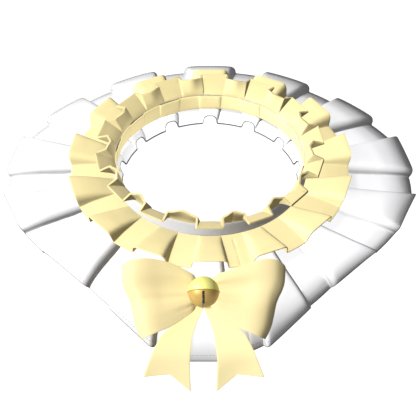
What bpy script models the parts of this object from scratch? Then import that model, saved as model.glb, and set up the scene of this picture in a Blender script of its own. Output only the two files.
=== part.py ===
# A pleated stage collar: a neckband with a stand ruffle above it and two tiers of
# box pleats below, and a ribbon bow with a jingle bell on the front.
# The origin is the neck's centre at the neckband's bottom edge. The front faces -Y.
# Angles are degrees round the neck from the front, positive towards -X.

import math

import bmesh
import bpy
from mathutils import Matrix, Vector

MM = 0.001
SEAM = 0.3 * MM             # room between two pieces that are sewn to each other

PLEATS = 14                 # box pleats in each ring
PITCH = 360 / PLEATS

BAND_RADIUS = 89.2 * MM     # outer face of the neckband
BAND_LOW = 0.5 * MM
BAND_HEIGHT = 14.8 * MM
BAND_WALL = 1.2 * MM
BAND_SIDES = 84

RUFFLE_WALL = 2.0 * MM
RUFFLE_CURVE = 1.6          # 1 is a straight lean, more is upright first
RUFFLE_FIRST = 31.1         # first box left of the front one, past the strip's joined ends
RUFFLE_PITCH = 25.2
RUFFLE_BOX = (6.0, 6.8)     # half angle of a box at the band and at the top
RUFFLE_SIDE = 0.5

# The ruffle's top edge: across a pleat as in the sections below, and from the foot
# across, how far out, how far up, both in mm
RUFFLE_EDGE = (
    (1.0, 17.4, 9.9),
    (2.0, 7.2, 14.4),
    (3.0, 3.7, 16.5),
)

CREAM_WALL = 1.2 * MM
CREAM_HEM_RADIUS = 132.3 * MM
CREAM_HEM_HEIGHT = 8.5 * MM
CREAM_RECESS_RADIUS = 129.0 * MM
CREAM_RECESS_HEIGHT = -3.2 * MM
CREAM_BOX = (5.9, 7.1)      # half angle of a box at the neck and at the hem
CREAM_SIDE = (0.7, 0.95)    # angle that the box's side takes up
CREAM_DROP = 0.3 * MM       # lets the boxes rise clear of the band's bottom edge
CREAM_HEADING = 13.6 * MM   # top edge, turned up inside the neckband
CREAM_HEADING_STEP = 0.5 * MM
CREAM_HEADING_BOX = (5.9, 7.0)  # half angle at the seam and at the top edge
CREAM_ARCH = 4.0 * MM       # four times the swell in the middle of the slope

WHITE_WALL = 1.4 * MM
WHITE_BOX = (5.4, 7.2)
WHITE_SIDE = (0.9, 1.9)
WHITE_CREST = (88.6 * MM, -2.7 * MM)  # radius and height of the seam
WHITE_NEAR = (0.31, 0.14, -1.4 * MM)  # shape near the seam: share out, share down, lift
WHITE_FAR = (0.12, 0.25, 7.4 * MM)  # shape near the hem, which the lift turns down
WHITE_NECK_DEPTH = 3.4 * MM
WHITE_DEPTH = 8.6 * MM
WHITE_DEEPEST = 0.42        # share of the way from the seam to the hem
WHITE_HEM_DEPTH = 7.4 * MM
WHITE_RECESS_INSET = 3.6 * MM  # at the sides, how much shorter the spaces' hem is
WHITE_RECESS_LIFT = 3.6 * MM  # at the front, less where the hem is higher
HEADING_BOX = 4.2           # half angle of a box at the raw inner edge
HEADING_SIDE = 0.9
HEADING_BOX_EDGE = (85.1 * MM, -8.6 * MM)
HEADING_RECESS_EDGE = (81.2 * MM, -14.8 * MM)

# The white tier's hem, the same on both sides.
# degrees from the front, radius in mm, height in mm
WHITE_HEM = (
    (0.0, 177.1, -76.4),
    (7.2, 177.1, -76.4),
    (18.5, 173.3, -68.8),
    (33.0, 169.1, -42.2),
    (44.0, 168.0, -31.0),
    (58.6, 180.1, -14.6),
    (70.0, 187.4, -10.8),
    (84.4, 192.0, -12.0),
    (95.6, 189.6, -15.6),
    (110.0, 185.7, -14.8),
    (121.4, 177.5, -15.9),
    (136.0, 171.9, -20.0),
    (147.0, 168.2, -19.2),
    (161.5, 167.5, -19.3),
    (180.0, 167.1, -19.4),
)

WHITE_HEM_FRONT = WHITE_HEM[0][2] * MM

# One half of a box pleat, from the middle of its front to the middle of the space
# beside it. Across: up to 1 is the flat front, up to 2 its side, up to 3 the space.
# Rise: 1 is level with the front, 0 is on the floor of the space.
# across, rise
ROUND_PLEAT = (
    (1.00, 1.00),
    (1.65, 0.78),
    (2.00, 0.34),
    (2.20, 0.00),
)
CRISP_PLEAT = (
    (1.00, 1.00),
    (1.70, 0.90),
    (2.00, 0.10),
    (2.12, 0.00),
)
STAND_PLEAT = (
    (1.00, 1.00),
    (2.00, 0.00),
    (3.00, 0.00),
)

BOW_CENTRE = (-5.9 * MM, -134.0 * MM, -28.6 * MM)  # a little to one side
BOW_LEAN = 45.0             # degrees that the bow leans back from upright
RIBBON_WALL = 1.3 * MM
KNOT_WIDTH = 13.0 * MM
KNOT_HEIGHT = 26.0 * MM
KNOT_DEPTH = 9.0 * MM
KNOT_BACK = 2.1 * MM
KNOT_SQUARENESS = 0.75      # 1 is an oval, less is squarer

# across the knot, in its widths, and its swell there
KNOT_RINGS = (
    (-0.5, 1.00),
    (-0.3, 1.02),
    (0.0, 1.03),
    (0.3, 1.02),
    (0.5, 1.00),
)

# The right loop of the bow, from the knot out to the fold and back under itself,
# measured on the slope that it lies on: across from the knot, up, and off the slope.
# top across, top up, bottom across, bottom up, off the slope, crease depth, all in mm
LOOP_STATIONS = (
    (4.8, 9.0, 4.8, -9.0, 7.6, 0.2),
    (7.4, 9.8, 7.2, -10.2, 7.9, 0.4),
    (10.4, 15.2, 10.0, -18.0, 10.2, 1.5),
    (24.0, 20.2, 19.0, -26.4, 13.6, 2.5),
    (40.0, 25.6, 31.0, -32.4, 15.6, 2.8),
    (55.0, 30.2, 43.0, -37.4, 15.8, 1.9),
    (66.0, 29.6, 50.5, -41.0, 14.6, 0.9),
    (72.8, 25.8, 55.2, -42.8, 11.6, 0.2),
    (74.6, 22.6, 56.0, -42.8, 8.6, 0.0),
    (72.6, 21.4, 54.8, -41.8, 6.2, 0.0),
    (60.0, 23.0, 45.0, -37.2, 5.4, 0.0),
    (40.0, 19.6, 31.0, -31.0, 4.8, 0.0),
    (22.0, 14.8, 18.0, -22.4, 4.8, 0.0),
    (10.6, 10.2, 9.4, -11.4, 5.0, 0.0),
    (7.4, 8.8, 7.2, -9.0, 5.2, 0.0),
    (4.8, 8.0, 4.8, -8.0, 5.3, 0.0),
)
LOOP_ARCH = {"right": 0.4, "left": 4.4}  # extra height of the top edge, in mm
LOOP_ARCH_END = 62.0        # the arch runs out this far from the knot, in mm
LOOP_ROWS = 9               # points across the ribbon
LOOP_END = (56.0, 74.6)     # across, at the bottom and the top of the folded end

# 0 is the bottom edge and 1 the top
# place of the trough or ridge, its width, its depth as a share of the crease depth
LOOP_FOLDS = (
    (0.62, 0.17, 1.00),
    (0.22, 0.20, -0.45),
)

# How far the folded end bulges past the straight line between its corners.
# place between the bottom edge and the top, bulge in mm
LOOP_BULGE = (
    (0.00, 0.0),
    (0.14, 3.0),
    (0.38, 1.9),
    (0.52, 0.9),
    (0.72, 3.9),
    (0.85, 2.7),
    (1.00, 0.0),
)

# The right tail. down the slope, inner edge across, outer edge across, all in mm
TAIL_STATIONS = (
    (10.0, 0.5, 4.0),
    (15.0, 0.9, 8.6),
    (26.0, 5.9, 25.0),
    (37.8, 9.8, 38.2),
    (46.0, 11.0, 43.0),
    (54.0, 12.0, 47.1),
    (62.5, 12.6, 50.3),
)
TAIL_GAP = 0.45 * MM

# inner tip, notch and outer tip of the swallow-tail end. down, across, in mm
TAIL_ENDS = (
    (91.8, 11.7),
    (74.9, 31.1),
    (77.4, 55.8),
)

BELL_RADIUS = 14.4 * MM
BELL_WALL = 0.8 * MM
BELL_RIM = 0.6 * MM         # how far the rim stands out
BELL_RIM_HEIGHT = 0.8 * MM
BELL_SLIT = 2.2 * MM
BELL_SLIT_START = 1.6 * MM  # below the rim's middle
BELL_SIDES = 28
BELL_LEAN = 47.0            # degrees that the bell's axis leans back from upright
SHANK_WIRE = 0.6 * MM
SHANK_REACH = 2.6 * MM
SHANK_HALF_WIDTH = 2.2 * MM
SHANK_UP = 0.6 * MM         # above the knot's middle, clear of the bell's rim
BELL_DROP = 1.1 * MM        # the bell hangs a little below the knot's middle
PELLET_RADIUS = 4.0 * MM

# name: base colour, roughness, metallic
FINISHES = {
    "white cotton": ((0.90, 0.90, 0.92), 0.85, 0.0),
    "band cotton": ((0.80, 0.79, 0.83), 0.85, 0.0),
    "cream cotton": ((1.00, 0.84, 0.48), 0.80, 0.0),
    "ribbon": ((1.00, 0.82, 0.44), 0.60, 0.0),
    "bright brass": ((1.00, 0.93, 0.30), 0.25, 1.0),
    "gold brass": ((0.82, 0.58, 0.18), 0.30, 1.0),
    "steel": ((0.55, 0.55, 0.57), 0.35, 1.0),
}


def clear_scene():
    for found in list(bpy.data.objects):
        bpy.data.objects.remove(found, do_unlink=True)


def collection(name):
    made = bpy.data.collections.new(name)
    bpy.context.scene.collection.children.link(made)
    return made


def finish(name):
    found = bpy.data.materials.get(name)
    if found:
        return found
    colour, roughness, metallic = FINISHES[name]
    made = bpy.data.materials.new(name)
    made.use_nodes = True
    shader = made.node_tree.nodes["Principled BSDF"]
    shader.inputs["Base Color"].default_value = (*colour, 1.0)
    shader.inputs["Roughness"].default_value = roughness
    shader.inputs["Metallic"].default_value = metallic
    return made


def add_object(name, mesh, finish_name, target):
    made = bpy.data.objects.new(name, mesh)
    mesh.materials.append(finish(finish_name))
    target.objects.link(made)
    return made


def mix(start, end, share):
    return start + (end - start) * share


def from_table(table, value):
    for near, far in zip(table, table[1:]):
        if value <= far[0]:
            return mix(near[1], far[1], (value - near[0]) / (far[0] - near[0]))
    return table[-1][1]


def bezier(points, share):
    rest = 1 - share
    weights = (rest ** 3, 3 * rest * rest * share, 3 * rest * share * share, share ** 3)
    return tuple(sum(w * p[axis] for w, p in zip(weights, points)) for axis in (0, 1))


def round_neck(angle, radius, height):
    turn = math.radians(angle)
    return Vector((-radius * math.sin(turn), -radius * math.cos(turn), height))


def pleat_columns(section, centres):
    # One entry for each line of points that runs from a ring's inner edge to its hem.
    columns = []
    count = len(centres)
    for index, centre in enumerate(centres):
        before = (centre - centres[index - 1]) % 360 / 2
        after = (centres[(index + 1) % count] - centre) % 360 / 2
        mirrored = [entry for entry in reversed(section) if entry[0] < 3]
        columns += [(centre, -1, before, across, rise) for across, rise in mirrored]
        columns += [(centre, 1, after, across, rise) for across, rise in section]
    return columns


def column_angle(column, box, side):
    # Angle of a column where the box's half angle and its side's angle are these,
    # with how far the column's flat face lies inside the circle through its corners.
    centre, way, half_gap, across, rise = column
    if across <= 1:
        offset = across * box
        flat = math.cos(math.radians(box)) / math.cos(math.radians(offset))
    elif across <= 2:
        offset = box + (across - 1) * side
        flat = 1.0
    else:
        offset = mix(box + side, half_gap, across - 2)
        flat = 1.0
    return centre + way * offset, flat


def ring_surface(name, rows):
    # Rows run from the inner edge to the hem, and each goes once round the neck.
    work = bmesh.new()
    rings = [[work.verts.new(point) for point in row] for row in rows]
    count = len(rings[0])
    for inner, outer in zip(rings, rings[1:]):
        for index in range(count):
            after = (index + 1) % count
            work.faces.new((inner[index], inner[after], outer[after], outer[index]))
    bmesh.ops.recalc_face_normals(work, faces=work.faces)
    mesh = bpy.data.meshes.new(name)
    work.to_mesh(mesh)
    work.free()
    return mesh


def strip_surface(name, rows):
    work = bmesh.new()
    lines = [[work.verts.new(point) for point in row] for row in rows]
    for near, far in zip(lines, lines[1:]):
        for index in range(len(near) - 1):
            work.faces.new((near[index], near[index + 1], far[index + 1], far[index]))
    bmesh.ops.recalc_face_normals(work, faces=work.faces)
    mesh = bpy.data.meshes.new(name)
    work.to_mesh(mesh)
    work.free()
    return mesh


def add_wall(made, thickness):
    wall = made.modifiers.new("wall", "SOLIDIFY")
    wall.thickness = thickness
    wall.offset = 0.0
    wall.use_even_offset = True
    wall.use_quality_normals = True
    return made


def white_hem(angle):
    # Radius and height of the white hem, read from the table for either side.
    turn = angle % 360
    turn = min(turn, 360 - turn)
    for near, far in zip(WHITE_HEM, WHITE_HEM[1:]):
        if turn <= far[0]:
            share = (turn - near[0]) / (far[0] - near[0])
            return mix(near[1], far[1], share) * MM, mix(near[2], far[2], share) * MM
    return WHITE_HEM[-1][1] * MM, WHITE_HEM[-1][2] * MM


def white_front(angle, share):
    # The level of the box fronts, and the way that the pleats are deep there.
    crest_radius, crest_height = WHITE_CREST
    near_out, near_down, near_lift = WHITE_NEAR
    far_out, far_down, far_lift = WHITE_FAR
    hem_radius, hem_height = white_hem(angle)
    out = hem_radius - crest_radius
    fall = hem_height - crest_height
    controls = (
        (crest_radius, crest_height),
        (crest_radius + near_out * out, crest_height + near_down * fall + near_lift),
        (hem_radius - far_out * out, hem_height - far_down * fall + far_lift),
        (hem_radius, hem_height),
    )
    place = Vector(bezier(controls, share))
    late = min(max(share, 0.08), 0.86)
    run = Vector(bezier(controls, late + 0.06)) - Vector(bezier(controls, late - 0.06))
    run.normalize()
    return place, Vector((-run.y, run.x))


def white_depth(share):
    if share < WHITE_DEEPEST:
        return mix(WHITE_NECK_DEPTH, WHITE_DEPTH, share / WHITE_DEEPEST)
    return mix(WHITE_DEPTH, WHITE_HEM_DEPTH, (share - WHITE_DEEPEST) / (1 - WHITE_DEEPEST))


def white_row(columns, share):
    box = mix(WHITE_BOX[0], WHITE_BOX[1], share)
    side = mix(WHITE_SIDE[0], WHITE_SIDE[1], share)
    row = []
    for column in columns:
        angle, flat = column_angle(column, box, side)
        place, deep = white_front(angle, share)
        space = 1 - column[4]
        sunk = space * white_depth(share)
        lift = WHITE_RECESS_LIFT * white_hem(angle)[1] / WHITE_HEM_FRONT * share ** 3
        inset = WHITE_RECESS_INSET * math.sin(math.radians(angle)) ** 2 * share ** 3
        radius = place.x * flat - deep.x * sunk - space * inset
        height = place.y - deep.y * sunk + space * lift
        row.append(round_neck(angle, radius, height))
    return row


def white_heading_row(columns, share):
    # The pleated top edge that hangs inside the neck, from the seam down.
    row = []
    for column in columns:
        box = mix(WHITE_BOX[0], HEADING_BOX, share)
        side = mix(WHITE_SIDE[0], HEADING_SIDE, share)
        angle = column_angle(column, box, side)[0]
        place, deep = white_front(angle, 0.0)
        rise = column[4]
        seam = place - deep * (1 - rise) * WHITE_NECK_DEPTH
        edge = Vector(HEADING_RECESS_EDGE).lerp(Vector(HEADING_BOX_EDGE), rise)
        point = seam.lerp(edge, share)
        row.append(round_neck(angle, point.x, point.y))
    return row


def make_white_tier(target):
    centres = [index * PITCH for index in range(PLEATS)]
    columns = pleat_columns(ROUND_PLEAT, centres)
    rows = [white_heading_row(columns, share) for share in (1.0, 0.5)]
    shares = (0.0, 0.12, 0.26, 0.42, 0.58, 0.72, 0.84, 0.93, 1.0)
    rows += [white_row(columns, share) for share in shares]
    mesh = ring_surface("white_tier", rows)
    return add_wall(add_object("white_tier", mesh, "white cotton", target), WHITE_WALL)


def cream_point(share, rise):
    # The part that shows outside the neckband, from under the band out to the hem.
    start_radius = BAND_RADIUS - BAND_WALL
    start_height = -CREAM_WALL / 2 - CREAM_DROP
    hem_radius = mix(CREAM_RECESS_RADIUS, CREAM_HEM_RADIUS, rise)
    hem_height = mix(CREAM_RECESS_HEIGHT, CREAM_HEM_HEIGHT, rise) - CREAM_WALL / 2
    arch = CREAM_ARCH * share * (1 - share)
    return mix(start_radius, hem_radius, share), mix(start_height, hem_height, share) + arch


def make_cream_tier(target):
    centres = [index * PITCH for index in range(PLEATS)]
    columns = pleat_columns(CRISP_PLEAT, centres)
    heading_radius = BAND_RADIUS - BAND_WALL - SEAM - CREAM_WALL / 2 - 0.1 * MM
    rows = []
    for share in (1.0, 0.5, 0.06):
        row = []
        for column in columns:
            box = mix(CREAM_HEADING_BOX[0], CREAM_HEADING_BOX[1], share)
            angle = column_angle(column, box, CREAM_SIDE[0])[0]
            radius = heading_radius - column[4] * CREAM_HEADING_STEP
            row.append(round_neck(angle, radius, share * CREAM_HEADING))
        rows.append(row)
    for share in (0.0, 0.05, 0.3, 0.55, 0.8, 1.0):
        row = []
        for column in columns:
            box = mix(CREAM_BOX[0], CREAM_BOX[1], share)
            side = mix(CREAM_SIDE[0], CREAM_SIDE[1], share)
            angle, flat = column_angle(column, box, side)
            radius, height = cream_point(share, column[4])
            row.append(round_neck(angle, radius * mix(1.0, flat, share), height))
        rows.append(row)
    mesh = ring_surface("cream_tier", rows)
    return add_wall(add_object("cream_tier", mesh, "cream cotton", target), CREAM_WALL)


def make_neckband(target):
    inner = BAND_RADIUS - BAND_WALL
    mesh = bpy.data.meshes.new("neckband")
    profile = (
        (BAND_RADIUS, BAND_HEIGHT),
        (BAND_RADIUS, BAND_LOW),
        (inner, BAND_LOW),
        (inner, BAND_HEIGHT),
    )
    mesh.from_pydata([(x, 0, z) for x, z in profile], [(0, 1), (1, 2), (2, 3), (3, 0)], [])
    made = add_object("neckband", mesh, "band cotton", target)
    turn = made.modifiers.new("turn", "SCREW")
    turn.steps = BAND_SIDES
    turn.render_steps = BAND_SIDES
    turn.use_merge_vertices = True
    turn.merge_threshold = 0.00001
    return made


def ruffle_centres():
    return [0.0] + [RUFFLE_FIRST + RUFFLE_PITCH * index for index in range(PLEATS - 1)]


def make_stand_ruffle(target):
    columns = pleat_columns(STAND_PLEAT, ruffle_centres())
    foot_radius = BAND_RADIUS - BAND_WALL / 2
    foot_height = BAND_HEIGHT + 2 * SEAM
    rows = []
    for share in (0.0, 0.1, 0.4, 0.7, 1.0):
        box = mix(RUFFLE_BOX[0], RUFFLE_BOX[1], share)
        row = []
        for column in columns:
            angle = column_angle(column, box, RUFFLE_SIDE)[0]
            out, up = next(entry[1:] for entry in RUFFLE_EDGE if column[3] <= entry[0])
            radius = foot_radius + out * MM * share ** RUFFLE_CURVE
            row.append(round_neck(angle, radius, foot_height + up * MM * share))
        rows.append(row)
    mesh = ring_surface("stand_ruffle", rows)
    return add_wall(add_object("stand_ruffle", mesh, "cream cotton", target), RUFFLE_WALL)


def front_slope():
    # The front box's outer face at the middle, as points with the length along them.
    points = []
    for index in range(61):
        share = index / 60
        place, deep = white_front(0.0, share)
        flat = math.cos(math.radians(mix(WHITE_BOX[0], WHITE_BOX[1], share)))
        points.append(Vector((0, -place.x * flat, place.y)) + slope_out(deep) * WHITE_WALL / 2)
    lengths = [0.0]
    for near, far in zip(points, points[1:]):
        lengths.append(lengths[-1] + (far - near).length)
    return points, lengths


def slope_out(deep):
    return Vector((0, -deep.x, deep.y))


SLOPE_POINTS, SLOPE_LENGTHS = front_slope()


def slope_length(radius):
    # Length along the front box from the seam to this distance from the neck's axis.
    table = [(-point.y, length) for point, length in zip(SLOPE_POINTS, SLOPE_LENGTHS)]
    return from_table(table, radius)


def on_slope(across, down, off):
    # A point over the front box: across from the bow's middle, down the cloth from it,
    # and off the cloth. Past the hem it carries straight on.
    start = slope_length(-BOW_CENTRE[1])
    length = min(start + down, SLOPE_LENGTHS[-1] - MM)
    index = max(i for i, value in enumerate(SLOPE_LENGTHS) if value <= length)
    near = SLOPE_POINTS[index]
    run = (SLOPE_POINTS[index + 1] - near).normalized()
    point = near + run * (start + down - SLOPE_LENGTHS[index])
    out = Vector((0, run.z, -run.y))
    return Vector((BOW_CENTRE[0] + across, point.y, point.z)) + out * off


def on_bow(across, up, off):
    # The loops, the knot and the bell share one leaning plane: across, up and off it.
    lean = math.radians(BOW_LEAN)
    rise = Vector((0, math.cos(lean), math.sin(lean)))
    out = Vector((0, -math.sin(lean), math.cos(lean)))
    return Vector(BOW_CENTRE) + Vector((across, 0, 0)) + rise * up + out * off


def loop_point(station, share, arch):
    top_across, top_up, low_across, low_up, off, crease = station
    across = mix(low_across, top_across, share)
    up = mix(low_up, top_up, share)
    for place, width, depth in LOOP_FOLDS:
        off -= crease * depth * math.exp(-((share - place) / width) ** 2)
    end = mix(LOOP_END[0], LOOP_END[1], share)
    up += arch * share ** 2 * math.sin(math.pi * min(top_across / LOOP_ARCH_END, 1)) ** 1.5
    across += from_table(LOOP_BULGE, share) * (across / end) ** 2
    return across * MM, up * MM, off * MM


def make_loop(side, way, target):
    name = f"bow_loop_{side}"
    rows = []
    for station in LOOP_STATIONS:
        row = []
        for index in range(LOOP_ROWS):
            share = index / (LOOP_ROWS - 1)
            across, up, off = loop_point(station, share, LOOP_ARCH[side])
            row.append(on_bow(way * across, up, off))
        rows.append(row)
    mesh = strip_surface(name, rows)
    return add_wall(add_object(name, mesh, "ribbon", target), RIBBON_WALL)


def make_knot(target):
    # A sleeve of ribbon drawn round the loops' gathered ends.
    mesh = bpy.data.meshes.new("bow_knot")
    work = bmesh.new()
    sides = 20
    rings = []
    for width, size in KNOT_RINGS:
        ring = []
        for index in range(sides):
            turn = 2 * math.pi * index / sides
            up = abs(math.cos(turn)) ** KNOT_SQUARENESS * math.copysign(1, math.cos(turn))
            off = abs(math.sin(turn)) ** KNOT_SQUARENESS * math.copysign(1, math.sin(turn))
            ring.append(work.verts.new(on_bow(
                width * KNOT_WIDTH,
                up * size * (KNOT_HEIGHT - RIBBON_WALL) / 2,
                KNOT_BACK + KNOT_DEPTH / 2 + off * size * (KNOT_DEPTH - RIBBON_WALL) / 2,
            )))
        rings.append(ring)
    for near, far in zip(rings, rings[1:]):
        for index in range(sides):
            after = (index + 1) % sides
            work.faces.new((near[index], near[after], far[after], far[index]))
    bmesh.ops.recalc_face_normals(work, faces=work.faces)
    work.to_mesh(mesh)
    work.free()
    return add_wall(add_object("bow_knot", mesh, "ribbon", target), RIBBON_WALL)


def make_tail(name, way, target):
    off = TAIL_GAP + RIBBON_WALL / 2
    rows = []
    for down, inner, outer in TAIL_STATIONS:
        middle = mix(inner, outer, 0.5)
        row = [on_slope(way * x * MM, down * MM, off) for x in (inner, middle, outer)]
        rows.append(row)
    rows.append([on_slope(way * x * MM, down * MM, off) for down, x in TAIL_ENDS])
    mesh = strip_surface(name, rows)
    return add_wall(add_object(name, mesh, "ribbon", target), RIBBON_WALL)


def bell_off():
    return KNOT_BACK + KNOT_DEPTH + SEAM + SHANK_REACH + SEAM + BELL_RADIUS


def bell_place():
    lean = Matrix.Rotation(math.radians(-BELL_LEAN), 4, "X")
    return Matrix.Translation(on_bow(0, -BELL_DROP, bell_off())) @ lean


def shell_profile(steps):
    # Outer side from the pole down to the rim, then the inner side back to the pole.
    outer = BELL_RADIUS
    inner = BELL_RADIUS - BELL_WALL
    low = SEAM / 2
    rim = outer + BELL_RIM
    top = low + BELL_RIM_HEIGHT / 2
    start = math.asin(top / outer)
    points = []
    for index in range(steps + 1):
        turn = mix(math.pi / 2, start, index / steps)
        points.append((outer * math.cos(turn), outer * math.sin(turn)))
    points += [(rim, top), (rim, low), (inner, low)]
    for index in range(1, steps + 1):
        turn = mix(math.asin(low / inner), math.pi / 2, index / steps)
        points.append((inner * math.cos(turn), inner * math.sin(turn)))
    points[0] = (0.0, outer)
    points[-1] = (0.0, inner)
    return points


def turned_mesh(name, points, sides):
    # The profile is turned round its own axis and closed where it meets the axis.
    mesh = bpy.data.meshes.new(name)
    edges = [(index, index + 1) for index in range(len(points) - 1)]
    mesh.from_pydata([(x, 0, z) for x, z in points], edges, [])
    source = bpy.data.objects.new(name, mesh)
    bpy.context.scene.collection.objects.link(source)
    turn = source.modifiers.new("turn", "SCREW")
    turn.steps = sides
    turn.render_steps = sides
    turn.use_merge_vertices = True
    turn.merge_threshold = 0.00001
    bpy.context.view_layer.update()
    graph = bpy.context.evaluated_depsgraph_get()
    made = bpy.data.meshes.new_from_object(source.evaluated_get(graph))
    bpy.data.objects.remove(source, do_unlink=True)
    work = bmesh.new()
    work.from_mesh(made)
    bmesh.ops.remove_doubles(work, verts=work.verts, dist=0.00001)
    bmesh.ops.recalc_face_normals(work, faces=work.faces)
    work.to_mesh(made)
    work.free()
    return made


def make_bell(target, cutters):
    place = bell_place()
    profile = shell_profile(8)
    cap_mesh = turned_mesh("bell_cap", profile, BELL_SIDES)
    cap = add_object("bell_cap", cap_mesh, "bright brass", target)
    cap.matrix_world = place

    cup_mesh = turned_mesh("bell_cup", profile, BELL_SIDES)
    cup_mesh.transform(Matrix.Rotation(math.pi, 4, "X"))
    cup = add_object("bell_cup", cup_mesh, "gold brass", target)
    cup.matrix_world = place
    for index, turn in enumerate((0.0, 90.0)):
        bpy.ops.mesh.primitive_cube_add(size=1)
        slit = bpy.context.object
        slit.name = f"slit_{index + 1}"
        for owner in list(slit.users_collection):
            owner.objects.unlink(slit)
        cutters.objects.link(slit)
        depth = BELL_RADIUS * 1.2
        slit.data.transform(Matrix.Diagonal((BELL_SLIT, BELL_RADIUS * 2.6, depth, 1)))
        slit.data.transform(Matrix.Translation((0, 0, -BELL_SLIT_START - depth / 2)))
        slit.matrix_world = place @ Matrix.Rotation(math.radians(turn), 4, "Z")
        slit.hide_render = True
        slit.display_type = "WIRE"
        cut = cup.modifiers.new(slit.name, "BOOLEAN")
        cut.operation = "DIFFERENCE"
        cut.solver = "EXACT"
        cut.object = slit

    # The pellet lies at the lowest point of the hollow.
    bpy.ops.mesh.primitive_uv_sphere_add(segments=14, ring_count=8, radius=PELLET_RADIUS)
    pellet = bpy.context.object
    pellet.name = "bell_pellet"
    for owner in list(pellet.users_collection):
        owner.objects.unlink(pellet)
    target.objects.link(pellet)
    pellet.data.materials.append(finish("steel"))
    fall = BELL_RADIUS - BELL_WALL - PELLET_RADIUS - SEAM
    pellet.location = place.translation - Vector((0, 0, fall))


def make_shank(target):
    # A bent wire on the bell's back, above its rim, for the thread that holds it.
    low = KNOT_BACK + KNOT_DEPTH + SEAM + SHANK_WIRE
    high = bell_off() - BELL_RADIUS - SEAM
    curve = bpy.data.curves.new("bell_shank", "CURVE")
    curve.dimensions = "3D"
    curve.bevel_depth = SHANK_WIRE
    curve.bevel_resolution = 2
    curve.use_fill_caps = True
    line = curve.splines.new("POLY")
    steps = 10
    line.points.add(steps)
    for index in range(steps + 1):
        turn = math.pi * index / steps
        across = SHANK_HALF_WIDTH * math.cos(turn)
        off = mix(high, low, math.sin(turn))
        line.points[index].co = (*on_bow(across, SHANK_UP, off), 1)
    made = bpy.data.objects.new("bell_shank", curve)
    curve.materials.append(finish("gold brass"))
    target.objects.link(made)
    return made


def main():
    clear_scene()
    parts = collection("pleated_stage_collar")
    cutters = collection("cutters")
    make_white_tier(parts)
    make_cream_tier(parts)
    make_neckband(parts)
    make_stand_ruffle(parts)
    make_loop("right", 1, parts)
    make_loop("left", -1, parts)
    make_knot(parts)
    make_tail("bow_tail_right", 1, parts)
    make_tail("bow_tail_left", -1, parts)
    make_bell(parts, cutters)
    make_shank(parts)


main()
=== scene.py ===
import math

import bmesh
import bpy
import numpy as np
from mathutils import Matrix, Vector


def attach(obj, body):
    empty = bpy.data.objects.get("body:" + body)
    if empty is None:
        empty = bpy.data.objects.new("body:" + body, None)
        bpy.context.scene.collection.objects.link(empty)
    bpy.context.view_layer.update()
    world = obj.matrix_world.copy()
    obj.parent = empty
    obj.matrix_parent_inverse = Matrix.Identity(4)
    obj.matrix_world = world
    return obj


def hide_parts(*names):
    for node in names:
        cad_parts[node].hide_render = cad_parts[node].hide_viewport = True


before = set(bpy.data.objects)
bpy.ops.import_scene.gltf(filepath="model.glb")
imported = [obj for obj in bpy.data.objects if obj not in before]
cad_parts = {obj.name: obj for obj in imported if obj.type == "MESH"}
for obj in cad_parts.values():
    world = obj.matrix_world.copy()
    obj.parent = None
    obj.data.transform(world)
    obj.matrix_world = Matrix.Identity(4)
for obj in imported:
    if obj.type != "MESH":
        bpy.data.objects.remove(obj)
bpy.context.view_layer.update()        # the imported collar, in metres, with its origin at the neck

scene = bpy.context.scene
mm = 0.001


# Sums of sockets and nodes

def plug(tree, slot, value):
    if isinstance(value, Wire):
        tree.links.new(value.socket, slot)
    else:
        slot.default_value = value


class Wire:
    # an output socket that takes part in sums; each sum adds a Math node
    def __init__(self, tree, socket):
        self.tree = tree
        self.socket = socket

    def math(self, operation, *values):
        node = self.tree.nodes.new("ShaderNodeMath")
        node.operation = operation
        for slot, value in zip(node.inputs, values):
            plug(self.tree, slot, value)
        return Wire(self.tree, node.outputs[0])


def sumMethod(operation, swapped=False):
    def method(self, *others):
        values = (*others, self) if swapped else (self, *others)
        return self.math(operation, *values)
    return method


wireSums = {
    "__add__": "ADD", "__sub__": "SUBTRACT", "__mul__": "MULTIPLY", "__truediv__": "DIVIDE",
    "__pow__": "POWER", "__abs__": "ABSOLUTE", "least": "MINIMUM", "most": "MAXIMUM",
    "over": "GREATER_THAN", "floor": "FLOOR", "root": "SQRT", "sine": "SINE", "cosine": "COSINE",
}
for name, operation in wireSums.items():
    setattr(Wire, name, sumMethod(operation))
for name, operation in (("__radd__", "ADD"), ("__rsub__", "SUBTRACT"), ("__rmul__", "MULTIPLY")):
    setattr(Wire, name, sumMethod(operation, swapped=True))


class Board:
    # adds every other node: its type, its settings, its inputs, and which output is wanted
    def __init__(self, tree):
        self.tree = tree

    def add(self, kind, settings=None, inputs=None, out=0):
        node = self.tree.nodes.new(kind)
        for name, value in (settings or {}).items():
            if name == "curve":
                setCurve(node.mapping, value)
            else:
                setattr(node, name, value)
        for name, value in (inputs or {}).items():
            plug(self.tree, node.inputs[name], value)
        return Wire(self.tree, node.outputs[out])

    def vector(self, x, y, z):
        return self.add("ShaderNodeCombineXYZ", None, {"X": x, "Y": y, "Z": z})

    def parts(self, vector):
        node = self.add("ShaderNodeSeparateXYZ", None, {"Vector": vector}).socket.node
        return [Wire(self.tree, socket) for socket in node.outputs]

    def mixColour(self, share, first, second):
        node = self.tree.nodes.new("ShaderNodeMix")
        node.data_type = "RGBA"
        for index, value in ((0, share), (6, first), (7, second)):
            plug(self.tree, node.inputs[index], value)
        return Wire(self.tree, node.outputs[2])


def setCurve(mapping, points):
    # straight lines between the points, which run from 0 to 1 both ways
    curve = mapping.curves[0]
    while len(curve.points) < len(points):
        curve.points.new(0.5, 0.5)
    for point, place in zip(curve.points, points):
        point.location = place
        point.handle_type = "VECTOR"
    mapping.update()


def ramp(value, start, end):
    return ((value - start) / (end - start)).most(0.0).least(1.0)


def smooth(value):
    return value * value * (3.0 - 2.0 * value)


def between(first, second, share):
    return first + (second - first) * share


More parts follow.
